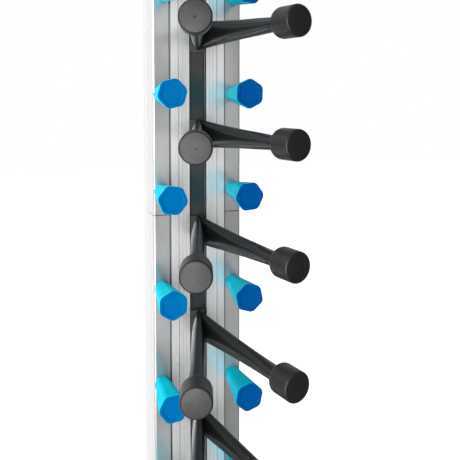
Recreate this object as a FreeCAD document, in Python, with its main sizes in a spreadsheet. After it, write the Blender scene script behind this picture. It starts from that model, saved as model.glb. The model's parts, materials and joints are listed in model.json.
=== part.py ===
"""A wall-mounted dumbbell rack: a slotted aluminium column with six V-shaped forks, one above another.

A dumbbell's handle lies across the two arms of a fork, a rubber knob on each arm's end keeps it from
rolling off, and its two heads rest against a pair of fluted bumpers on the column's side covers. Each fork
stands on a slider in the column's T-slot, and two set screws lock it at its height. Two wall plates behind
the column carry the rack.

Frame: the origin is the centre of the four wall screws, on the wall's plane. +Z is up, the rack faces -Y.
Millimetres. Each sub-part is written to parts/LABEL.step.
"""

import FreeCAD, Part
import math
import os

import Sketcher
from FreeCAD import Placement, Rotation, Vector

SIZES = (
    ("fork_count", 6, "forks on the column"),
    ("pitch", 150, "height from one fork to the next"),
    ("top_fork", 355, "height of the top fork's axis"),
    ("column_length", 960, "length of the column's profiles"),
    ("column_width", 140, "width of the column over its covers"),
    ("column_depth", 88, "depth of the column, front face to back"),
    ("plate_thick", 5, "thickness of a wall plate, and the column's distance from the wall"),
    ("wall_thick", 3, "wall of the profiles"),
    ("face_half", 43.7, "half width of the core profile's front face"),
    ("mouth_half", 12.5, "half width of the slot's mouth"),
    ("lip_thick", 4.5, "thickness of the slot's lips"),
    ("slot_half", 20, "half width of the slot behind its lips"),
    ("slot_depth", 10.5, "depth of the slot's floor behind the front face"),
    ("groove_half", 30.5, "distance of the decorative groove from the centre"),
    ("groove_size", 0.9, "width and depth of the decorative groove"),
    ("core_depth", 85, "depth of the core profile"),
    ("wing_half", 66.6, "half width of the core over its wings"),
    ("wing_thick", 3.5, "thickness of a wing"),
    ("wing_wall", 2, "thickness of a wing's return flange"),
    ("wing_return", 34, "depth of a wing's return flange"),
    ("cover_step", 3, "how far a cover's face lies behind the core's face"),
    ("cover_gap", 0.3, "gap between a cover and the core's side"),
    ("cover_depth", 44, "depth of a cover's side"),
    ("cover_seam", 0.7, "gap between the upper and the lower covers"),
    ("seam_rise", 27, "height of the seam above the third fork"),
    ("corner_radius", 3, "rounding of the column's upright corners"),
    ("edge_radius", 0.8, "rounding of the core's front edges"),
    ("channel_gap", 1.2, "gap between a cover and the rear channel"),
    ("cap_thick", 4, "thickness of an end cap's plate"),
    ("cap_plug", 8, "depth of an end cap's plug in the core"),
    ("cap_round", 1.2, "rounding of an end cap's outer rim"),
    ("plate_height", 36, "height of a wall plate"),
    ("plate_half", 113, "half length of a wall plate"),
    ("plate_rise", 460, "height of a wall plate's centre above or below the origin"),
    ("plate_corner", 16, "rounding of a wall plate's corners"),
    ("wall_hole_reach", 95, "sideways distance of a wall screw's hole"),
    ("wall_hole_radius", 4.5, "radius of a wall screw's hole"),
    ("rear_screw_reach", 25, "sideways distance of a rear screw"),
    ("rear_screw_rise", 8, "distance of a rear screw above or below its plate's centre"),
    ("mid_screw_rise", 150, "height of the rear screws between the plates"),
    ("rear_screw_radius", 3, "radius of a rear screw's shank"),
    ("rear_head_radius", 6, "radius of a rear screw's head"),
    ("rear_head_height", 3, "height of a rear screw's head"),
    ("screw_clearance", 0.1, "radial clearance round a fastener"),
    ("press_play", 0.05, "radial clearance of a pressed or cast-in fit"),
    ("bore_run", 0.5, "depth that a blind bore has to spare"),
    ("bumper_rise", 63, "height of a bumper above its fork"),
    ("bumper_reach", 57, "sideways distance of a bumper"),
    ("bumper_length", 83, "length of a bumper"),
    ("bumper_root", 11.4, "mean radius of a bumper at the column"),
    ("bumper_tip", 21, "mean radius of a bumper at its face"),
    ("bumper_flute", 0.04, "height of a bumper's lobes, as a share of its radius"),
    ("bumper_rim", 1.4, "rounding of a bumper's rim"),
    ("bumper_dish", 1.4, "depth of the dish in a bumper's face"),
    ("stud_radius", 3, "radius of a bumper's stud"),
    ("stud_hold", 40, "depth of a stud in its bumper"),
    ("stud_tail", 18, "length of a stud behind the cover's face"),
    ("nut_radius", 5.77, "corner radius of a stud's nut"),
    ("nut_thick", 5, "thickness of a stud's nut"),
    ("arm_spread", 15.25, "angle of an arm from straight ahead, in degrees"),
    ("arm_length", 207, "length of an arm from the slot's mouth to its knob"),
    ("arm_root_height", 22.5, "half height of an arm's blade at its root"),
    ("arm_root_width", 5.5, "half thickness of an arm's blade at its root"),
    ("arm_root_lift", 2, "height of the blade's middle above the fork's axis"),
    ("neck_radius", 10, "radius of an arm at its knob"),
    ("spigot_radius", 7, "radius of the spigot inside a knob"),
    ("spigot_length", 27, "length of the spigot inside a knob"),
    ("knob_radius", 20, "radius of a knob"),
    ("knob_length", 39, "length of a knob"),
    ("knob_round", 2.6, "rounding of a knob's outer edge"),
    ("knob_shoulder", 8, "rounding of a knob's inner edge"),
    ("knob_crown", 1.2, "rise of a knob's end face at its centre"),
    ("slider_height", 44, "height of a fork's slider"),
    ("slider_play", 0.25, "clearance of a slider in the slot"),
    ("tenon_height", 13, "height of an arm's tenon"),
    ("tenon_half", 3, "width of an arm's tenon"),
    ("tenon_depth", 4, "depth of an arm's tenon in the slider"),
    ("set_screw_radius", 2.95, "radius of a set screw"),
    ("set_screw_rise", 11.5, "distance of a set screw above or below the fork's axis"),
    ("socket_radius", 1.7, "corner radius of a set screw's socket"),
    ("socket_depth", 3, "depth of a set screw's socket"),
    ("key_radius", 2, "radius of the key's hole between the arms"),
    ("key_reach", 60, "length of the key's hole between the arms"),
)

LOBES = 6
DISH_MOUTH = 0.80
DISH_FLOOR = 0.68
ARM_STATIONS = (0, 0.06, 0.14, 0.26, 0.42, 0.6, 0.8, 1)
BLADE_FALL = 1.5
BLADE_SWELL = 8
ROOT_OVERRUN = 8
TURN_STEP = 23
OVERLAP = 0.01
SIDES = {"left": -1, "right": 1}

doc = FreeCAD.newDocument("dumbbell_rack")
sheet = doc.addObject("Spreadsheet::Sheet", "Sizes")
subparts = []


def fill_sheet():
    """Writes the driving dimensions to the sheet, one aliased cell each."""
    for row, (alias, number, meaning) in enumerate(SIZES, start=1):
        sheet.set(f"A{row}", alias)
        sheet.set(f"B{row}", str(number))
        sheet.setAlias(f"B{row}", alias)
        sheet.set(f"C{row}", meaning)
    doc.recompute()


def value(expression):
    """The number that an expression on the sheet's cells stands for."""
    found = sheet.evalExpression(str(expression))
    return float(getattr(found, "Value", found))


def size(alias):
    return float(sheet.get(alias))


def behind(depth):
    """The Y, as an expression, of a plane this far behind the column's front face."""
    return f"{depth} - Sizes.plate_thick - Sizes.column_depth"


def fork_z(number):
    """The height, as an expression, of a fork's axis. Fork 1 is the top one."""
    return f"Sizes.top_fork - {number - 1} * Sizes.pitch"


def fork_numbers():
    return range(1, int(size("fork_count")) + 1)


# ---- sketches and features -----------------------------------------------------------------------


def new_body(label):
    body = doc.addObject("PartDesign::Body", label)
    body.Label = label
    subparts.append(body)
    return body


def new_sketch(body, role, offset):
    """A sketch on one of the body's origin planes, moved along that plane's normal by an expression."""
    sketch = body.newObject("Sketcher::SketchObject", "sketch")
    plane = next(f for f in body.Origin.OriginFeatures if f.Role == role)
    sketch.AttachmentSupport = (plane, [""])
    sketch.MapMode = "FlatFace"
    sketch.setExpression("AttachmentOffset.Base.z", str(offset))
    return sketch


def bind(sketch, kind, geometry, point, expression):
    """Holds a point at a distance from the sketch's origin along X or Y."""
    if expression == "0":
        axis = -2 if kind == "DistanceX" else -1
        sketch.addConstraint(Sketcher.Constraint("PointOnObject", geometry, point, axis))
        return
    index = sketch.addConstraint(Sketcher.Constraint(kind, -1, 1, geometry, point, value(expression)))
    sketch.setExpression(f"Constraints[{index}]", expression)


def arc_about_y(start, end):
    """The arc between two points whose centre lies on the sketch's Y axis."""
    centre_y = (end.dot(end) - start.dot(start)) / (2 * (end.y - start.y))
    circle = Part.Circle(Vector(0, centre_y, 0), Vector(0, 0, 1), math.hypot(start.x, start.y - centre_y))
    return Part.ArcOfCircle(circle, circle.parameter(start), circle.parameter(end))


def draw_outline(sketch, corners, crown=None):
    """A closed outline through pairs of expressions. One side may be an arc about the Y axis."""
    first = sketch.GeometryCount
    points = [Vector(value(x), value(y), 0) for x, y in corners]
    for i, start in enumerate(points):
        end = points[(i + 1) % len(points)]
        side = arc_about_y(start, end) if i == crown else Part.LineSegment(start, end)
        sketch.addGeometry(side, False)
    if crown is not None:
        sketch.addConstraint(Sketcher.Constraint("PointOnObject", first + crown, 3, -2))
    for i, (x, y) in enumerate(corners):
        before = first + (i - 1) % len(corners)
        sketch.addConstraint(Sketcher.Constraint("Coincident", before, 2, first + i, 1))
        bind(sketch, "DistanceX", first + i, 1, x)
        bind(sketch, "DistanceY", first + i, 1, y)


def draw_box(sketch, left, right, low, high):
    draw_outline(sketch, [(left, low), (right, low), (right, high), (left, high)])


def draw_circle(sketch, x, y, radius):
    circle = Part.Circle(Vector(value(x), value(y), 0), Vector(0, 0, 1), value(radius))
    index = sketch.addGeometry(circle, False)
    bind(sketch, "DistanceX", index, 3, x)
    bind(sketch, "DistanceY", index, 3, y)
    held = sketch.addConstraint(Sketcher.Constraint("Radius", index, value(radius)))
    sketch.setExpression(f"Constraints[{held}]", radius)


def pad(body, sketch, length):
    """Adds the sketch's outline, pushed along its normal."""
    feature = body.newObject("PartDesign::Pad", "pad")
    feature.Profile = sketch
    feature.setExpression("Length", str(length))
    sketch.Visibility = False
    doc.recompute()
    return feature


def pocket(body, sketch, length):
    """Removes the sketch's outline, pushed against its normal, and checks that something was removed."""
    before = body.Shape.Volume
    feature = body.newObject("PartDesign::Pocket", "pocket")
    feature.Profile = sketch
    feature.setExpression("Length", str(length))
    doc.recompute()
    if not body.Shape.Volume < before - 1e-3:
        raise RuntimeError(f"{body.Label}: a pocket removed nothing")
    return feature


def edge_names(shape, wanted):
    """The names of the edges that a test on the edge picks."""
    return [f"Edge{i}" for i, edge in enumerate(shape.Edges, start=1) if wanted(edge)]


def circle_of(edge):
    """The circle that an edge lies on, or None."""
    if edge.Degenerated or not isinstance(edge.Curve, Part.Circle):
        return None
    return edge.Curve


def round_edges(body, radius, wanted):
    """Rounds the edges of the body's tip that a test picks."""
    tip = body.Tip
    names = edge_names(tip.Shape, wanted)
    if not names:
        raise RuntimeError(f"{body.Label}: no edge to round")
    feature = body.newObject("PartDesign::Fillet", "fillet")
    feature.Base = (tip, names)
    feature.setExpression("Radius", radius)
    doc.recompute()
    return feature


def upright_at(places, tolerance=0.01):
    """A test for straight upright edges that stand at one of the (x, y) places."""

    def wanted(edge):
        start, end = edge.Vertexes[0].Point, edge.Vertexes[-1].Point
        if (start - end).Length < 1 or abs(start.z - end.z) < (start - end).Length * 0.999:
            return False
        return any(math.hypot(start.x - x, start.y - y) < tolerance for x, y in places)

    return wanted


def box(label, corner, extent):
    """A Part box from its lowest corner and its size, given as three expressions."""
    made = doc.addObject("Part::Box", label)
    for name, expression in zip(("Length", "Width", "Height"), extent):
        made.setExpression(name, expression)
    made.Placement = Placement(Vector(*corner), Rotation())
    return made


def rod(label, radius, length, base, direction):
    """A Part cylinder from its base's centre along a direction."""
    made = doc.addObject("Part::Cylinder", label)
    made.setExpression("Radius", str(radius))
    made.setExpression("Height", str(length))
    made.Placement = Placement(Vector(*base), Rotation(Vector(0, 0, 1), Vector(*direction)))
    return made


def hexagon(label, radius, length, base, direction):
    """A Part hexagonal prism from its base's centre along a direction."""
    made = doc.addObject("Part::Prism", label)
    made.Polygon = 6
    made.setExpression("Circumradius", str(radius))
    made.setExpression("Height", str(length))
    made.Placement = Placement(Vector(*base), Rotation(Vector(0, 0, 1), Vector(*direction)))
    return made


def joined(label, pieces):
    made = doc.addObject("Part::MultiFuse", label)
    made.Shapes = pieces
    return made


def cut(label, base, *tools):
    """The base with each tool taken out of it."""
    for tool in tools:
        made = doc.addObject("Part::Cut", label)
        made.Base = base
        made.Tool = tool
        base = made
    return base


def keep(made, label, height=None):
    """Marks an object as a sub-part, and lifts it to a height given as an expression."""
    made.Label = label
    if height:
        made.setExpression(".Placement.Base.z", height)
    subparts.append(made)
    return made


# ---- the column ----------------------------------------------------------------------------------


def draw_slot(sketch):
    """The T-slot: its mouth between the lips, and the wider space behind them."""
    mouth, wide = "Sizes.mouth_half", "Sizes.slot_half"
    front, lip, floor = behind("-1"), behind("Sizes.lip_thick"), behind("Sizes.slot_depth")
    corners = [(f"-{mouth}", front), (mouth, front), (mouth, lip), (wide, lip)]
    corners += [(wide, floor), (f"-{wide}", floor), (f"-{wide}", lip), (f"-{mouth}", lip)]
    draw_outline(sketch, corners)


def make_core():
    """The core profile: a hollow box with the T-slot in its face and a wing on each side."""
    body = new_body("column_core")
    bottom = "-Sizes.column_length / 2"
    top = "Sizes.column_length / 2"
    side, wall = "Sizes.face_half", "Sizes.wall_thick"

    outer = new_sketch(body, "XY_Plane", bottom)
    draw_box(outer, f"-{side}", side, behind("0"), behind("Sizes.core_depth"))
    pad(body, outer, "Sizes.column_length")

    wings = new_sketch(body, "XY_Plane", bottom)
    front = "Sizes.cover_step + Sizes.wall_thick"
    for sign in ("", "-"):
        root, tip = f"{sign}({side} - 1)", f"{sign}Sizes.wing_half"
        inner = f"{sign}(Sizes.wing_half - Sizes.wing_wall)"
        near, far = behind(front), behind(f"{front} + Sizes.wing_thick")
        back = behind(f"{front} + Sizes.wing_return")
        corners = [(root, near), (tip, near), (tip, back), (inner, back), (inner, far), (root, far)]
        draw_outline(wings, corners)
    pad(body, wings, "Sizes.column_length")

    hollows = new_sketch(body, "XY_Plane", top)
    floor = behind(f"Sizes.slot_depth + {wall}")
    back = behind(f"Sizes.core_depth - {wall}")
    draw_box(hollows, f"-({side} - {wall})", f"{side} - {wall}", floor, back)
    for sign in ("", "-"):
        near, far = f"{sign}(Sizes.slot_half + {wall})", f"{sign}({side} - {wall})"
        draw_box(hollows, near, far, behind("Sizes.lip_thick"), behind("Sizes.slot_depth"))
    pocket(body, hollows, "Sizes.column_length")

    slot = new_sketch(body, "XY_Plane", top)
    draw_slot(slot)
    pocket(body, slot, "Sizes.column_length")

    grooves = new_sketch(body, "XY_Plane", top)
    for sign in ("", "-"):
        middle, half = f"{sign}Sizes.groove_half", "Sizes.groove_size / 2"
        mouth, foot = behind("0"), (middle, behind("Sizes.groove_size"))
        draw_outline(grooves, [(f"{middle} - {half}", mouth), (f"{middle} + {half}", mouth), foot])
    pocket(body, grooves, "Sizes.column_length")

    face = value(behind("0"))
    places = [(sign * size(name), face) for sign in (-1, 1) for name in ("face_half", "mouth_half")]
    round_edges(body, "Sizes.edge_radius", upright_at(places))

    drill_stud_holes(body, [1, -1], fork_numbers())
    drill_rear_holes(body, "Sizes.core_depth - 2 * Sizes.wall_thick")


def drill_stud_holes(body, signs, numbers):
    """Holes for the bumpers' studs, through a cover's face and the wing behind it."""
    holes = new_sketch(body, "XZ_Plane", f"-({behind('0')})")
    for sign in signs:
        for number in numbers:
            x = "Sizes.bumper_reach" if sign > 0 else "-Sizes.bumper_reach"
            z = f"{fork_z(number)} + Sizes.bumper_rise"
            draw_circle(holes, x, z, "Sizes.stud_radius + 3 * Sizes.screw_clearance")
    pocket(body, holes, "2 * Sizes.wing_thick + Sizes.cover_step + Sizes.wall_thick")


def rear_screw_places():
    """The (x, z) expressions of the rear screws, and whether each passes through a wall plate."""
    places = []
    for x in ("Sizes.rear_screw_reach", "-Sizes.rear_screw_reach"):
        for level in ("Sizes.plate_rise", "-Sizes.plate_rise"):
            for step in ("+", "-"):
                places.append((x, f"{level} {step} Sizes.rear_screw_rise", True))
        for level in ("Sizes.mid_screw_rise", "-Sizes.mid_screw_rise"):
            places.append((x, level, False))
    return places


def drill_rear_holes(body, depth):
    """Holes for the rear screws, from a depth behind the front face to the back."""
    holes = new_sketch(body, "XZ_Plane", f"-({behind(depth)})")
    for x, z, _ in rear_screw_places():
        draw_circle(holes, x, z, "Sizes.rear_screw_radius + Sizes.screw_clearance")
    pocket(body, holes, "Sizes.column_depth")


def make_cover(side, part, bottom, top, numbers):
    """One length of a side cover: an angle with a rounded corner, held by the bumpers' studs."""
    body = new_body(f"{side}_cover_{part}")
    sign = "-" if side == "left" else ""
    inner = f"{sign}(Sizes.face_half + Sizes.cover_gap)"
    outer = f"{sign}(Sizes.column_width / 2)"
    return_x = f"{sign}(Sizes.column_width / 2 - Sizes.wall_thick)"
    near = behind("Sizes.cover_step")
    far = behind("Sizes.cover_step + Sizes.wall_thick")
    back = behind("Sizes.cover_step + Sizes.cover_depth")
    outline = new_sketch(body, "XY_Plane", bottom)
    corners = [(inner, near), (outer, near), (outer, back)]
    corners += [(return_x, back), (return_x, far), (inner, far)]
    draw_outline(outline, corners)
    pad(body, outline, f"{top} - ({bottom})")
    round_edges(body, "Sizes.corner_radius", upright_at([(value(outer), value(near))]))
    drill_stud_holes(body, [SIDES[side]], numbers)


def make_covers():
    """Four covers: an upper and a lower one on each side, with a seam above the third fork."""
    seam = f"{fork_z(3)} + Sizes.seam_rise"
    half = "Sizes.column_length / 2"
    for side in SIDES:
        make_cover(side, "upper", f"{seam} + Sizes.cover_seam / 2", half, (1, 2, 3))
        make_cover(side, "lower", f"-{half}", f"{seam} - Sizes.cover_seam / 2", (4, 5, 6))


def make_rear_channel():
    """The channel that closes the column's back and its sides behind the covers."""
    body = new_body("rear_channel")
    outer, inner = "Sizes.column_width / 2", "(Sizes.column_width / 2 - Sizes.wall_thick)"
    near = behind("Sizes.cover_step + Sizes.cover_depth + Sizes.channel_gap")
    floor, back = behind("Sizes.core_depth"), behind("Sizes.column_depth")
    corners = [(outer, near), (outer, back), (f"-{outer}", back), (f"-{outer}", near)]
    corners += [(f"-{inner}", near), (f"-{inner}", floor), (inner, floor), (inner, near)]
    outline = new_sketch(body, "XY_Plane", "-Sizes.column_length / 2")
    draw_outline(outline, corners)
    pad(body, outline, "Sizes.column_length")
    places = [(sign * value(outer), value(back)) for sign in (-1, 1)]
    round_edges(body, "Sizes.corner_radius", upright_at(places))
    drill_rear_holes(body, "Sizes.core_depth - Sizes.wall_thick")


def make_cap(label, upside_down):
    """An end cap: a plate over the column's end, with a hollow plug in the core."""
    body = new_body(label)
    side = "Sizes.column_width / 2"
    plate = new_sketch(body, "XY_Plane", "Sizes.column_length / 2")
    draw_box(plate, f"-{side}", side, behind("0"), behind("Sizes.column_depth"))
    pad(body, plate, "Sizes.cap_thick")
    half, front, back = value(side), value(behind("0")), value(behind("Sizes.column_depth"))
    places = [(sign * half, y) for sign in (-1, 1) for y in (front, back)]
    round_edges(body, "Sizes.corner_radius", upright_at(places))
    level = value("Sizes.column_length / 2 + Sizes.cap_thick")
    round_edges(body, "Sizes.cap_round", lambda edge: all(abs(v.Z - level) < 0.01 for v in edge.Vertexes))

    slack = "Sizes.slider_play"
    inside = f"Sizes.face_half - Sizes.wall_thick - {slack}"
    near = behind(f"Sizes.slot_depth + Sizes.wall_thick + {slack}")
    far = behind(f"Sizes.core_depth - Sizes.wall_thick - {slack}")
    plug = new_sketch(body, "XY_Plane", "Sizes.column_length / 2 - Sizes.cap_plug")
    draw_box(plug, f"-({inside})", inside, near, far)
    pad(body, plug, "Sizes.cap_plug")
    wall = "Sizes.wall_thick"
    hollow = new_sketch(body, "XY_Plane", "Sizes.column_length / 2")
    draw_box(hollow, f"-({inside} - {wall})", f"{inside} - {wall}", f"{near} + {wall}", f"{far} - {wall}")
    pocket(body, hollow, "Sizes.cap_plug")
    if upside_down:
        middle = value(behind("Sizes.column_depth / 2"))
        body.Placement = Placement(Vector(0, 0, 0), Rotation(Vector(0, 1, 0), 180), Vector(0, middle, 0))


def make_wall_plate(label, sign):
    """A wall plate: a flat bar with rounded ends, its wall screws' holes and the column's screw holes."""
    body = new_body(label)
    level = f"{sign}Sizes.plate_rise"
    half, tall = "Sizes.plate_half", "Sizes.plate_height / 2"
    outline = new_sketch(body, "XZ_Plane", "0")
    draw_box(outline, f"-{half}", half, f"{level} - {tall}", f"{level} + {tall}")
    pad(body, outline, "Sizes.plate_thick")

    def is_corner(edge):
        run = edge.Vertexes[-1].Point - edge.Vertexes[0].Point
        return abs(run.y) > 1 and abs(run.x) < 0.01 and abs(run.z) < 0.01

    round_edges(body, "Sizes.plate_corner", is_corner)
    holes = new_sketch(body, "XZ_Plane", "Sizes.plate_thick")
    for x in ("Sizes.wall_hole_reach", "-Sizes.wall_hole_reach"):
        draw_circle(holes, x, level, "Sizes.wall_hole_radius")
    for x, z, through_plate in rear_screw_places():
        if through_plate and value(z) * value(level) > 0:
            draw_circle(holes, x, z, "Sizes.rear_screw_radius + Sizes.screw_clearance")
    pocket(body, holes, "Sizes.plate_thick")

    def is_screw_mouth(edge):
        circle = circle_of(edge)
        if not circle or abs(circle.Center.y) > 0.01:
            return False
        return abs(circle.Radius - size("rear_screw_radius") - size("screw_clearance")) < 0.01

    tip = body.Tip
    countersink = body.newObject("PartDesign::Chamfer", "countersink")
    countersink.Base = (tip, edge_names(tip.Shape, is_screw_mouth))
    countersink.setExpression("Size", "Sizes.rear_head_height")


# ---- fasteners of the column ---------------------------------------------------------------------


def rear_screw(x, z, through_plate):
    """A screw from the back into the core: countersunk in a wall plate, or low-headed on the channel."""
    shank, head, height = "Sizes.rear_screw_radius", "Sizes.rear_head_radius", "Sizes.rear_head_height"
    back = 0 if through_plate else -size("plate_thick")
    tip = value(behind("Sizes.core_depth - 2 * Sizes.wall_thick"))
    stem = rod("stem", shank, back - tip, (x, back, z), (0, -1, 0))
    if not through_plate:
        return joined("screw", [stem, rod("head", head, height, (x, back, z), (0, 1, 0))])
    cone = doc.addObject("Part::Cone", "head")
    cone.setExpression("Radius1", head)
    cone.setExpression("Radius2", shank)
    cone.setExpression("Height", height)
    cone.Placement = Placement(Vector(x, back, z), Rotation(Vector(0, 0, 1), Vector(0, -1, 0)))
    return joined("screw", [stem, cone])


def make_rear_screws():
    """The screws that hold the rear channel and the wall plates to the core."""
    made = doc.addObject("Part::Compound", "rear_screws")
    made.Links = [rear_screw(value(x), value(z), flush) for x, z, flush in rear_screw_places()]
    return keep(made, "rear_screws")


def make_bumper_studs():
    """A stud and its nut for each bumper: the stud clamps the cover to the core's wing."""
    pieces = []
    face = value(behind("Sizes.cover_step"))
    wing_back = value(behind("Sizes.cover_step + Sizes.wall_thick + Sizes.wing_thick"))
    for sign in SIDES.values():
        for number in fork_numbers():
            x = sign * size("bumper_reach")
            z = value(f"{fork_z(number)} + Sizes.bumper_rise")
            start = (x, face - size("stud_hold"), z)
            length = "Sizes.stud_hold + Sizes.stud_tail"
            pieces.append(rod("stud", "Sizes.stud_radius", length, start, (0, 1, 0)))
            blank = hexagon("blank", "Sizes.nut_radius", "Sizes.nut_thick", (x, wing_back, z), (0, 1, 0))
            bore = "Sizes.stud_radius + Sizes.screw_clearance"
            hole = rod("hole", bore, "Sizes.nut_thick", (x, wing_back, z), (0, 1, 0))
            pieces.append(cut("nut", blank, hole))
    made = doc.addObject("Part::Compound", "bumper_studs")
    made.Links = pieces
    return keep(made, "bumper_studs")


# ---- the bumpers ---------------------------------------------------------------------------------


def lobed_wire(radius, y, scale=1.0):
    """A closed smooth outline with equal lobes, in the plane at y, about the Y axis."""
    points = []
    steps = 6 * LOBES
    for i in range(steps):
        angle = 2 * math.pi * i / steps
        reach = scale * radius * (1 + size("bumper_flute") * math.cos(LOBES * angle))
        points.append(Vector(reach * math.cos(angle), y, reach * math.sin(angle)))
    curve = Part.BSplineCurve()
    curve.interpolate(points, PeriodicFlag=True)
    return Part.Wire([curve.toShape()])


def bumper_shape():
    """A bumper about the Y axis, its root at y = 0: a fluted taper with a rounded rim and a dished face."""
    length, root, tip = size("bumper_length"), size("bumper_root"), size("bumper_tip")
    solid = Part.makeLoft([lobed_wire(root, 0), lobed_wire(tip, -length)], True, True)
    rim = [edge for edge in solid.Edges if all(abs(v.Point.y + length) < 0.01 for v in edge.Vertexes)]
    solid = solid.makeFillet(size("bumper_rim"), rim)
    mouth = lobed_wire(tip, -length - OVERLAP, DISH_MOUTH)
    floor = lobed_wire(tip, -length + size("bumper_dish"), DISH_FLOOR)
    solid = solid.cut(Part.makeLoft([mouth, floor], True, True))
    radius, depth = size("stud_radius") + size("press_play"), size("stud_hold") + size("bore_run")
    return solid.cut(Part.makeCylinder(radius, depth, Vector(0, 0, 0), Vector(0, -1, 0)))


def make_bumpers():
    """Two bumpers above each fork. They screw on, so their flutes stop at different angles."""
    shape = bumper_shape()
    face = value(behind("Sizes.cover_step"))
    for index, (side, sign) in enumerate(SIDES.items()):
        for number in fork_numbers():
            made = doc.addObject("Part::Feature", "bumper")
            turn = TURN_STEP * (number + 2 * index)
            made.Shape = shape
            base = Vector(sign * size("bumper_reach"), face, 0)
            made.Placement = Placement(base, Rotation(Vector(0, 1, 0), turn))
            keep(made, f"{side}_bumper_{number}", f"{fork_z(number)} + Sizes.bumper_rise")


# ---- the forks -----------------------------------------------------------------------------------


def slider_front():
    """The Y, as an expression, of a slider's face behind the slot's lips."""
    return behind("Sizes.lip_thick + Sizes.slider_play")


def slider_back():
    return behind("Sizes.slot_depth - Sizes.slider_play")


def arm_direction(side):
    """The direction of an arm, level, from the slot to its knob."""
    angle = math.radians(size("arm_spread"))
    return Vector(SIDES[side] * math.sin(angle), -math.cos(angle), 0)


def arm_section(side, share):
    """An upright ellipse across an arm, at a share of its length: a thin tall blade at 0, a circle at 1."""
    along = arm_direction(side)
    made = doc.addObject("Part::Ellipse", "section")
    made.MajorRadius, made.MinorRadius = 100, 1
    left = f"(1 - {share})"
    neck = "Sizes.neck_radius"
    narrow = f"{neck} - ({neck} - Sizes.arm_root_width) * {left} ^ {BLADE_SWELL}"
    tall = f"{neck} + (Sizes.arm_root_height - {neck}) * {left} ^ {BLADE_FALL}"
    made.setExpression("MajorRadius", tall)
    made.setExpression("MinorRadius", narrow)
    reach = share * size("arm_length") - (ROOT_OVERRUN if share == 0 else 0)
    lift = size("arm_root_lift") * (1 - share) ** BLADE_FALL
    centre = Vector(0, value(behind("0")), lift) + along * reach
    across = along.cross(Vector(0, 0, 1))
    made.Placement = Placement(centre, Rotation(Vector(0, 0, 1), across, along, "ZXY"))
    return made


def make_arm(number, side):
    """An arm: a bar that flattens to a tall root at the slot, with a tenon and a knob's spigot."""
    along = arm_direction(side)
    front, root = value(behind("0")), value(slider_front())
    bar = doc.addObject("Part::Loft", "bar")
    bar.Sections = [arm_section(side, share) for share in ARM_STATIONS]
    bar.Solid = True
    bar.Ruled = False

    large = size("column_width")
    start_x = 0 if side == "right" else -large
    extent = ("Sizes.column_width", "2 * Sizes.column_width", "Sizes.column_width")
    half = box("half", (start_x, root - 2 * large, -large / 2), extent)
    trimmed = doc.addObject("Part::MultiCommon", "trimmed")
    trimmed.Shapes = [bar, half]
    end = Vector(0, front, 0) + along * (size("arm_length") - 1)
    spigot = rod("spigot", "Sizes.spigot_radius", "Sizes.spigot_length + 1", end, along)
    tenon_x = 0 if side == "right" else -size("tenon_half")
    extent = ("Sizes.tenon_half", "Sizes.tenon_depth", "Sizes.tenon_height")
    tenon = box("tenon", (tenon_x, root, -size("tenon_height") / 2), extent)
    whole = joined("whole", [trimmed, tenon, spigot])
    keys = []
    for sign in SIDES.values():
        start = (0, root, sign * size("set_screw_rise"))
        keys.append(rod("key_hole", "Sizes.key_radius", "Sizes.key_reach", start, (0, -1, 0)))
    keep(cut("arm", whole, *keys), f"fork_{number}_{side}_arm", fork_z(number))


def draw_knob(sketch):
    """Half of a knob's outline: a cylinder with a crowned end, bored from its base for the spigot."""
    radius, length = "Sizes.knob_radius", "Sizes.knob_length"
    bore, depth = "Sizes.spigot_radius + Sizes.press_play", "Sizes.spigot_length + Sizes.bore_run"
    edge = f"{length} - Sizes.knob_crown"
    corners = [(bore, "0"), (radius, "0"), (radius, edge), ("0", length), ("0", depth), (bore, depth)]
    draw_outline(sketch, corners, crown=2)


def make_knob(number, side):
    """A knob: a rubber cylinder with rounded edges and a crowned end, pushed on to the arm's spigot."""
    body = new_body(f"fork_{number}_{side}_knob")
    outline = new_sketch(body, "XZ_Plane", "0")
    draw_knob(outline)
    turned = body.newObject("PartDesign::Revolution", "turned")
    turned.Profile = outline
    turned.ReferenceAxis = (outline, ["V_Axis"])
    turned.Angle = 360
    doc.recompute()
    edge = size("knob_length") - size("knob_crown")
    round_edges(body, "Sizes.knob_round", rim_at(edge))
    round_edges(body, "Sizes.knob_shoulder", rim_at(0))
    base = Vector(0, value(behind("0")), 0) + arm_direction(side) * size("arm_length")
    body.Placement = Placement(base, Rotation(Vector(0, 0, 1), arm_direction(side)))
    body.setExpression(".Placement.Base.z", fork_z(number))


def rim_at(level):
    """A test for a knob's outer rim at a level."""

    def wanted(edge):
        circle = circle_of(edge)
        if not circle:
            return False
        return abs(circle.Radius - size("knob_radius")) < 0.01 and abs(circle.Center.z - level) < 0.01

    return wanted


def make_slider(number):
    """A fork's slider: a flat block behind the slot's lips, pocketed for the tenons and the screws."""
    body = new_body(f"fork_{number}_slider")
    reach, front = "Sizes.slot_half - Sizes.slider_play", slider_front()
    outline = new_sketch(body, "XY_Plane", "-Sizes.slider_height / 2")
    draw_box(outline, f"-({reach})", reach, front, slider_back())
    pad(body, outline, "Sizes.slider_height")
    recess = new_sketch(body, "XZ_Plane", f"-({front})")
    half = "Sizes.tenon_height / 2"
    draw_box(recess, "-Sizes.tenon_half", "Sizes.tenon_half", f"-{half}", half)
    pocket(body, recess, "Sizes.tenon_depth")
    holes = new_sketch(body, "XZ_Plane", f"-({front})")
    for rise in ("Sizes.set_screw_rise", "-Sizes.set_screw_rise"):
        draw_circle(holes, "0", rise, "Sizes.set_screw_radius + Sizes.screw_clearance")
    pocket(body, holes, "Sizes.slot_depth")
    body.setExpression(".Placement.Base.z", fork_z(number))


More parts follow.
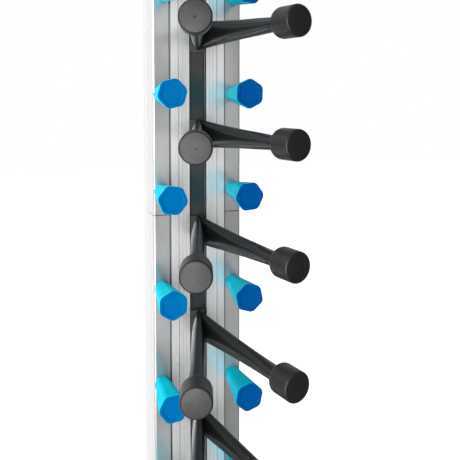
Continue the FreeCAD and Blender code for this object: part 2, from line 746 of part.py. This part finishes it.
def make_set_screws(number):
    """The two socket set screws that lock a fork's slider against the slot's floor."""
    start, end = value(slider_front()), value(slider_back())
    screws = []
    for sign in SIDES.values():
        place = (0, start, sign * size("set_screw_rise"))
        blank = rod("thread", "Sizes.set_screw_radius", end - start, place, (0, 1, 0))
        recess = hexagon("socket", "Sizes.socket_radius", "Sizes.socket_depth", place, (0, 1, 0))
        screws.append(cut("set_screw", blank, recess))
    made = doc.addObject("Part::Compound", "set_screws")
    made.Links = screws
    keep(made, f"fork_{number}_set_screws", fork_z(number))


def make_forks():
    for number in fork_numbers():
        for side in SIDES:
            make_arm(number, side)
            make_knob(number, side)
        make_slider(number)
        make_set_screws(number)


# ---- checks and files ----------------------------------------------------------------------------


def check_document():
    doc.recompute()
    for made in doc.Objects:
        if "Invalid" in made.State or "Error" in made.State:
            raise RuntimeError(f"{made.Label} failed: {made.State}")
    for made in subparts:
        if made.Shape.isNull() or not made.Shape.isValid() or not made.Shape.Solids:
            raise RuntimeError(f"{made.Label} has no valid solid")


def write_parts():
    os.makedirs("parts", exist_ok=True)
    for made in subparts:
        made.Shape.exportStep(f"parts/{made.Label}.step")
        print(f"{made.Label}: {len(made.Shape.Solids)} solids, {made.Shape.Volume / 1000:.1f} cm3")


fill_sheet()
make_core()
make_covers()
make_rear_channel()
make_cap("top_cap", False)
make_cap("bottom_cap", True)
make_wall_plate("upper_wall_plate", "")
make_wall_plate("lower_wall_plate", "-")
make_rear_screws()
make_bumper_studs()
make_bumpers()
make_forks()
check_document()
write_parts()
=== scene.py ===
"""The looks of the wall-mounted dumbbell rack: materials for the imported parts, a pale studio and the camera.

Everything is in metres, in the part's own frame: +Z is up, the rack faces -Y, and the wall is at Y = 0.
"""

import json
import math

import bpy
from mathutils import Euler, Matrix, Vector


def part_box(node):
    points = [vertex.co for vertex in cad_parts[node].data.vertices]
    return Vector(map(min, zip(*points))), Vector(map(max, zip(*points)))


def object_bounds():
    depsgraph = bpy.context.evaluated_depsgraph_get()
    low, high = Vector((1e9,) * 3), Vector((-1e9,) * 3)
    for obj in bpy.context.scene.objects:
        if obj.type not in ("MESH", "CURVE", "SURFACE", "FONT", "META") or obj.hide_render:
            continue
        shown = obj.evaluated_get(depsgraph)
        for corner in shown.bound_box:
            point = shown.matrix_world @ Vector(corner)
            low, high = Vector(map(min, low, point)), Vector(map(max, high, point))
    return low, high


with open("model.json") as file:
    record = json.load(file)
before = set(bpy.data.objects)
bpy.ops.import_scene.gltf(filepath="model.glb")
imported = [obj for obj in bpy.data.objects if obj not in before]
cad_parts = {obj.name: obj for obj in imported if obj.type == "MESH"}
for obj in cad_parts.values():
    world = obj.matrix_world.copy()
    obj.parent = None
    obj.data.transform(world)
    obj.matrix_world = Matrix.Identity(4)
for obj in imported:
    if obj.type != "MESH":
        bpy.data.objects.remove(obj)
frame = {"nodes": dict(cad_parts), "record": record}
cad_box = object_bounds()
nodes = frame["nodes"]

MM = 0.001

# places on the column, in millimetres. Reaches are from its middle line, and depths are in front of the wall.
# Each pair is where a painted zone starts and where it is full.
CORE_LINES = ((19.0, 0.4), (24.0, 0.4), (30.5, 0.7))
# the slot's painted shade: where its almost black painted lip shadow starts and is full, then where the shade
# ends
LIP_SHADOW_EDGE = (12.3, 12.45)
SLOT_EDGE = (13.3, 13.7)
# painted shade along the rims beside the gap between the core and the covers
CORE_RIM_SHADE = (41.9, 42.9)
COVER_RIM_SHADE = (44.4, 45.2)
COVER_SIDE = (69.0, 69.8)
COVER_LINE_DEPTH = 71
REAR_LINE_DEPTH = 19
SEAM_LEVEL = 82
BUMPER_ROWS = 6
# the heights, from each bumper's middle, of the slot's painted reflection of that bumper
BUMPER_REFLECTION_HEIGHT = (8, 38)

# the camera: a little above the second fork, left of the rack and turned towards it
CAMERA_PLACE = Vector((-0.2350, -0.9939, 0.2645))
CAMERA_YAW = 17.68
CAMERA_PITCH = -3.0
CAMERA_LENS = 47.08
CAMERA_SHIFT = -0.2226

# the studio
FLOOR_DROP = 0.45
FLOOR_HALF = 9.0
FLOOR_GLOW = 0.65

# softboxes: name, azimuth, elevation, distance, width, height and watts
LIGHTS = (
    ("front", -22, -6, 2.2, 1.1, 2.2, 60),
    ("left", -75, 20, 2.6, 1.0, 1.0, 16),
)


# ---- node helpers --------------------------------------------------------------------------------


class Paint:
    """A material's node tree, with short ways to add and join nodes."""

    def __init__(self, name):
        self.material = bpy.data.materials.new(name)
        self.material.use_nodes = True
        self.tree = self.material.node_tree
        self.tree.nodes.clear()
        self.shader = self.tree.nodes.new("ShaderNodeBsdfPrincipled")
        output = self.tree.nodes.new("ShaderNodeOutputMaterial")
        self.tree.links.new(self.shader.outputs["BSDF"], output.inputs["Surface"])
        coordinates = self.tree.nodes.new("ShaderNodeTexCoord")
        self.place = coordinates.outputs["Object"]
        self.axes = self.split(self.place)
        self.facing = self.split(coordinates.outputs["Normal"])

    def split(self, vector):
        """The X, Y and Z of a vector."""
        node = self.tree.nodes.new("ShaderNodeSeparateXYZ")
        self.tree.links.new(vector, node.inputs[0])
        return node.outputs

    def feed(self, socket, source):
        """Sets a socket to a number or colour, or joins it to another node's output."""
        if isinstance(source, bpy.types.NodeSocket):
            self.tree.links.new(source, socket)
        else:
            socket.default_value = source

    def set(self, **values):
        """Sets the shader's sockets. A socket's name has its spaces written as underscores."""
        for name, source in values.items():
            self.feed(self.shader.inputs[name.replace("_", " ")], source)

    def math(self, operation, *sources):
        node = self.tree.nodes.new("ShaderNodeMath")
        node.operation = operation
        for socket, source in zip(node.inputs, sources):
            self.feed(socket, source)
        return node.outputs[0]

    def ramp(self, source, low, high, out_low=0.0, out_high=1.0):
        """Maps a range of values smoothly to another, and holds it beyond the ends."""
        node = self.tree.nodes.new("ShaderNodeMapRange")
        node.interpolation_type = "SMOOTHSTEP"
        for socket, value in zip(node.inputs[:5], (source, low, high, out_low, out_high)):
            self.feed(socket, value)
        return node.outputs[0]

    def zone(self, source, places, out_low=0.0, out_high=1.0):
        """A ramp between a pair of places in millimetres."""
        return self.ramp(source, places[0] * MM, places[1] * MM, out_low, out_high)

    def line(self, source, place, core, edge, depth):
        """A thin soft line where a distance passes a place. The sizes are in millimetres."""
        offset = self.math("ABSOLUTE", self.math("SUBTRACT", source, place * MM))
        return self.zone(offset, (core, edge), depth, 0.0)

    def fed(self, name):
        """The output that feeds one of the shader's sockets."""
        return self.shader.inputs[name].links[0].from_socket

    def noise(self, scale, detail=2.0, roughness=0.5, stretch=(1, 1, 1)):
        mapping = self.tree.nodes.new("ShaderNodeMapping")
        self.feed(mapping.inputs["Vector"], self.place)
        mapping.inputs["Scale"].default_value = stretch
        node = self.tree.nodes.new("ShaderNodeTexNoise")
        self.feed(node.inputs["Vector"], mapping.outputs[0])
        node.inputs["Scale"].default_value = scale
        node.inputs["Detail"].default_value = detail
        node.inputs["Roughness"].default_value = roughness
        return node.outputs["Fac"]

    def mix(self, share, first, second):
        """A colour between two, each given as (r, g, b) or as another node's output."""
        node = self.tree.nodes.new("ShaderNodeMix")
        node.data_type = "RGBA"
        self.feed(node.inputs["Factor"], share)
        for name, colour in (("A", first), ("B", second)):
            socket = next(s for s in node.inputs if s.name == name and s.type == "RGBA")
            self.feed(socket, colour if isinstance(colour, bpy.types.NodeSocket) else (*colour, 1.0))
        return next(s for s in node.outputs if s.type == "RGBA")

    def bump(self, height, depth, strength=1.0):
        """Raises the surface by a height map, whose full range is a depth in metres."""
        node = self.tree.nodes.new("ShaderNodeBump")
        node.inputs["Strength"].default_value = strength
        node.inputs["Distance"].default_value = depth
        self.feed(node.inputs["Height"], height)
        self.feed(self.shader.inputs["Normal"], node.outputs[0])


def grey(level):
    return (level, level, level)


# ---- materials -----------------------------------------------------------------------------------


def streaked_metal(name, dark, light, roughness, grain_depth):
    """Aluminium drawn and brushed along Z: fine streaks in its colour, its gloss and its surface."""
    paint = Paint(name)
    fine = paint.noise(260, 3, 0.6, (12, 12, 0.05))
    broad = paint.noise(30, 2, 0.5, (3, 3, 0.03))
    streak = paint.math("ADD", paint.math("MULTIPLY", fine, 0.6), paint.math("MULTIPLY", broad, 0.4))
    even = paint.ramp(streak, 0.30, 0.70)
    paint.set(Metallic=0.7)
    paint.set(Base_Color=paint.mix(even, grey(dark), grey(light)))
    paint.set(Roughness=paint.ramp(streak, 0.25, 0.75, roughness + 0.06, roughness - 0.05))
    paint.bump(fine, grain_depth, 0.5)
    return paint


def core_metal():
    """The core: fine drawn lines, painted shade on its sideways faces and along its rims, painted shade in the
    slot with an almost black painted lip shadow, and a painted teal reflection of each bumper in the slot.
    """
    paint = streaked_metal("core_aluminium", 0.72, 0.88, 0.24, 0.00001)
    colour = paint.fed("Base Color")
    reach = paint.math("ABSOLUTE", paint.axes["X"])
    for place, depth in CORE_LINES:
        colour = paint.mix(paint.line(reach, place, 0.25, 0.55, depth), colour, grey(0.30))
    # Painted shade: faces that point sideways are darkened.
    side = paint.ramp(paint.math("ABSOLUTE", paint.facing["X"]), 0.7, 0.9, 0.0, 0.5)
    colour = paint.mix(side, colour, grey(0.5))
    # Painted shade along the core's rim beside each cover, dark over the edge that would catch a highlight.
    colour = paint.mix(paint.zone(reach, CORE_RIM_SHADE, 0.0, 0.88), colour, grey(0.04))
    # Painted shade in the slot: its floor is painted dark as a shaded recess, and its lip edges almost black
    # as painted lip shadow.
    slot = paint.zone(reach, SLOT_EDGE, 1.0, 0.0)
    lip_shadow = paint.zone(reach, LIP_SHADOW_EDGE)
    colour = paint.mix(slot, colour, paint.mix(lip_shadow, grey(0.06), grey(0.008)))
    # Painted reflection: a dark teal tint in the slot at each bumper's height stands for the bumpers'
    # reflection.
    for number in range(1, BUMPER_ROWS + 1):
        low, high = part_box(f"left_bumper_{number}")
        height = paint.math("SUBTRACT", paint.axes["Z"], (low.z + high.z) / 2)
        bumper_reflection = paint.zone(paint.math("ABSOLUTE", height), BUMPER_REFLECTION_HEIGHT, 0.85, 0.0)
        colour = paint.mix(paint.math("MULTIPLY", bumper_reflection, slot), colour, (0.012, 0.05, 0.06))
    paint.set(Base_Color=colour)
    paint.set(Roughness=paint.ramp(slot, 0.0, 1.0, paint.fed("Roughness"), 0.42))
    return paint.material


def cover_metal():
    """The covers: painted shade and painted reflection patches on the front faces, painted shade along the
    rims beside the core and in the seam, and a drawn line along the side.
    """
    paint = streaked_metal("cover_aluminium", 0.64, 0.72, 0.20, 0.000005)
    colour = paint.fed("Base Color")
    # Painted shade and painted reflection: the front faces are darker, in soft clouded patches.
    cloud = paint.ramp(paint.noise(9, 1, 0.4, (1, 1, 0.8)), 0.40, 0.60, 0.30, 0.62)
    front = paint.ramp(paint.facing["Y"], -0.95, -0.70, 1.0, 0.0)
    colour = paint.mix(paint.math("MULTIPLY", cloud, front), colour, grey(0.24))
    reach = paint.math("ABSOLUTE", paint.axes["X"])
    # Painted shade along the cover's rim beside the core.
    colour = paint.mix(paint.zone(reach, COVER_RIM_SHADE, 0.85, 0.0), colour, grey(0.05))
    # Painted shade in the seam between the upper and lower lengths, on the front only.
    seam = paint.line(paint.axes["Z"], SEAM_LEVEL, 0.5, 1.0, 0.8)
    colour = paint.mix(paint.math("MULTIPLY", front, seam), colour, grey(0.08))
    line = paint.line(paint.axes["Y"], -COVER_LINE_DEPTH, 0.4, 1.0, 0.6)
    side = paint.zone(reach, COVER_SIDE)
    paint.set(Base_Color=paint.mix(paint.math("MULTIPLY", line, side), colour, grey(0.25)))
    return paint.material


def rear_metal():
    """The rear channel's faces, with a drawn line along each side."""
    paint = streaked_metal("rear_aluminium", 0.74, 0.82, 0.28, 0.00001)
    line = paint.line(paint.axes["Y"], -REAR_LINE_DEPTH, 0.5, 1.2, 0.6)
    paint.set(Base_Color=paint.mix(line, paint.fed("Base Color"), grey(0.30)))
    return paint.material


def slider_metal():
    return streaked_metal("slider_aluminium", 0.08, 0.13, 0.40, 0.00004).material


def arm_paint():
    """Satin anthracite powder coat, with its slight orange peel."""
    paint = Paint("arm_paint")
    peel = paint.noise(900, 2, 0.4)
    cloud = paint.noise(40, 3, 0.5)
    paint.set(Base_Color=paint.mix(cloud, grey(0.008), grey(0.013)))
    paint.set(Roughness=paint.ramp(cloud, 0.3, 0.7, 0.31, 0.37))
    paint.set(Specular_IOR_Level=0.35)
    paint.bump(peel, 0.00001, 0.15)
    return paint.material


def knob_rubber():
    """Matte dark rubber with a fine grain and a few lighter scuffs."""
    paint = Paint("knob_rubber")
    grain = paint.noise(2600, 2, 0.6)
    scuff = paint.noise(55, 5, 0.7)
    paint.set(Base_Color=paint.mix(paint.ramp(scuff, 0.45, 0.75), grey(0.004), grey(0.009)))
    paint.set(Roughness=paint.ramp(scuff, 0.3, 0.7, 0.50, 0.42))
    paint.set(Specular_IOR_Level=0.5)
    paint.bump(grain, 0.00008, 0.6)
    return paint.material


def bumper_rubber():
    """Cast blue rubber in one blue, painted as lit and shaded copies: lit cyan on the fluted sides, a darker
    blue in the dished face, and painted shade on the bumpers on the right.
    """
    paint = Paint("bumper_rubber")
    # Painted light: the fluted sides are painted as lit cyan and the dished face as a shaded blue, though the
    # rubber is one blue.
    face = paint.ramp(paint.facing["Y"], -0.80, -0.60, 1.0, 0.0)
    swirl = paint.noise(45, 4, 0.6)
    # Painted shade: the bumpers on the right are painted darker, on their sides and faces.
    right = paint.ramp(paint.axes["X"], -0.01, 0.01)
    bright = paint.mix(swirl, (0.0, 0.56, 0.74), (0.0, 0.70, 0.90))
    shaded_right_side = paint.mix(swirl, (0.0, 0.42, 0.56), (0.0, 0.56, 0.74))
    side = paint.mix(right, bright, shaded_right_side)
    left_face = paint.mix(swirl, (0.0, 0.108, 0.300), (0.0, 0.125, 0.340))
    shaded_right_face = paint.mix(swirl, (0.0, 0.056, 0.220), (0.0, 0.070, 0.255))
    flat = paint.mix(right, left_face, shaded_right_face)
    paint.set(Base_Color=paint.mix(face, side, flat))
    paint.set(Roughness=paint.ramp(swirl, 0.3, 0.7, 0.46, 0.36))
    paint.set(Specular_IOR_Level=0.012)
    paint.bump(paint.noise(1400, 2, 0.5), 0.00005, 0.5)
    return paint.material


def cap_plastic():
    """Black moulded plastic with a spark-eroded texture."""
    paint = Paint("cap_plastic")
    grain = paint.noise(1800, 2, 0.6)
    paint.set(Base_Color=paint.mix(grain, grey(0.016), grey(0.026)))
    paint.set(Roughness=paint.ramp(grain, 0.3, 0.7, 0.48, 0.60))
    paint.bump(grain, 0.0001, 0.6)
    return paint.material


def zinc_steel(name, level):
    """Zinc-plated steel, with a faint mottled sheen."""
    paint = Paint(name)
    spangle = paint.noise(160, 4, 0.6)
    paint.set(Metallic=1.0)
    bluish = (level * 1.15, level * 1.17, level * 1.2)
    paint.set(Base_Color=paint.mix(spangle, grey(level), bluish))
    paint.set(Roughness=paint.ramp(spangle, 0.3, 0.7, 0.42, 0.30))
    paint.bump(paint.noise(1200, 2, 0.5), 0.00003, 0.4)
    return paint.material


def paint_parts():
    """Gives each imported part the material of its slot."""
    finishes = {
        "core_aluminium": core_metal(),
        "cover_aluminium": cover_metal(),
        "rear_aluminium": rear_metal(),
        "slider_aluminium": slider_metal(),
        "arm_paint": arm_paint(),
        "knob_rubber": knob_rubber(),
        "bumper_rubber": bumper_rubber(),
        "cap_plastic": cap_plastic(),
        "plate_steel": zinc_steel("plate_steel", 0.55),
        "fastener_steel": zinc_steel("fastener_steel", 0.48),
    }
    for subpart in frame["record"]["subparts"]:
        mesh = nodes[subpart["node"]].data
        mesh.materials.clear()
        mesh.materials.append(finishes[subpart["material_slot"]])


# ---- studio --------------------------------------------------------------------------------------


def make_camera():
    data = bpy.data.cameras.new("camera")
    camera = bpy.data.objects.new("camera", data)
    bpy.context.scene.collection.objects.link(camera)
    data.lens = CAMERA_LENS
    data.shift_y = CAMERA_SHIFT
    data.clip_start = 0.02
    data.clip_end = 50
    camera.location = CAMERA_PLACE
    tilt = math.radians(90 + CAMERA_PITCH)
    camera.rotation_euler = Euler((tilt, 0, -math.radians(CAMERA_YAW)))
    bpy.context.scene.camera = camera


def make_floor():
    """A wide pale floor, well below the rack."""
    level = cad_box[0].z - FLOOR_DROP
    corners = [(-1, -1), (1, -1), (1, 1), (-1, 1)]
    mesh = bpy.data.meshes.new("floor")
    mesh.from_pydata([(x * FLOOR_HALF, y * FLOOR_HALF, level) for x, y in corners], [], [(0, 1, 2, 3)])
    floor = bpy.data.objects.new("floor", mesh)
    floor.visible_glossy = False
    bpy.context.scene.collection.objects.link(floor)
    paint = Paint("floor")
    rays = paint.tree.nodes.new("ShaderNodeLightPath")
    glow = paint.math("MULTIPLY", rays.outputs["Is Camera Ray"], FLOOR_GLOW)
    paint.set(Base_Color=(0.85, 0.85, 0.85, 1.0), Roughness=0.9, Specular_IOR_Level=0.0)
    paint.set(Emission_Color=(1.0, 1.0, 1.0, 1.0), Emission_Strength=glow)
    mesh.materials.append(paint.material)


def make_light(name, azimuth, elevation, distance, width, height, power):
    """A softbox that faces the rack. Azimuth 0 is straight in front, and positive is to the right."""
    data = bpy.data.lights.new(name, "AREA")
    data.shape = "RECTANGLE"
    data.size, data.size_y = width, height
    data.energy = power
    light = bpy.data.objects.new(name, data)
    bpy.context.scene.collection.objects.link(light)
    across, up = math.radians(azimuth), math.radians(elevation)
    towards = Vector((math.sin(across) * math.cos(up), -math.cos(across) * math.cos(up), math.sin(up)))
    light.location = towards * distance
    light.rotation_euler = towards.to_track_quat("Z", "Y").to_euler()


def make_lights():
    for light in LIGHTS:
        make_light(*light)


def make_world():
    """White to the camera. To the parts it is a room, bright behind them and dim at the front right."""
    world = bpy.data.worlds.new("studio")
    bpy.context.scene.world = world
    world.use_nodes = True
    tree = world.node_tree
    tree.nodes.clear()

    def add(kind, **sockets):
        node = tree.nodes.new(kind)
        for name, source in sockets.items():
            socket = node.inputs[name.replace("_", " ")]
            if isinstance(source, bpy.types.NodeSocket):
                tree.links.new(source, socket)
            else:
                socket.default_value = source
        return node

    def span(source, low, high, out_low, out_high):
        """Maps a range of values evenly to another, and holds it beyond the ends."""
        node = tree.nodes.new("ShaderNodeMapRange")
        for socket, value in zip(node.inputs[:5], (source, low, high, out_low, out_high)):
            if isinstance(value, bpy.types.NodeSocket):
                tree.links.new(value, socket)
            else:
                socket.default_value = value
        return node.outputs[0]

    place = add("ShaderNodeTexCoord").outputs["Generated"]
    axes = add("ShaderNodeSeparateXYZ", Vector=place).outputs
    below = span(axes["Z"], -0.6, 0.0, 0.34, 0.66)
    depth = span(axes["Y"], -0.3, 0.9, below, 1.1)
    ahead = span(axes["X"], 0.34, 0.66, 1.0, 0.03)
    behind = span(axes["X"], -0.1, 0.2, 1.0, 0.62)
    turn = span(axes["Y"], -0.35, -0.05, 0.0, 1.0)
    fade = add("ShaderNodeMix", Factor=turn, A=ahead, B=behind)
    strength = tree.nodes.new("ShaderNodeMath")
    strength.operation = "MULTIPLY"
    tree.links.new(depth, strength.inputs[0])
    tree.links.new(fade.outputs[0], strength.inputs[1])
    room = add("ShaderNodeBackground", Color=(1, 1, 1, 1), Strength=strength.outputs[0])
    backdrop = add("ShaderNodeBackground", Color=(1, 1, 1, 1), Strength=1.0)
    blend = tree.nodes.new("ShaderNodeMixShader")
    tree.links.new(add("ShaderNodeLightPath").outputs["Is Camera Ray"], blend.inputs[0])
    tree.links.new(room.outputs[0], blend.inputs[1])
    tree.links.new(backdrop.outputs[0], blend.inputs[2])
    add("ShaderNodeOutputWorld", Surface=blend.outputs[0])
    bpy.context.scene.view_settings.view_transform = "Standard"


make_camera()
paint_parts()
make_floor()
make_lights()
make_world()
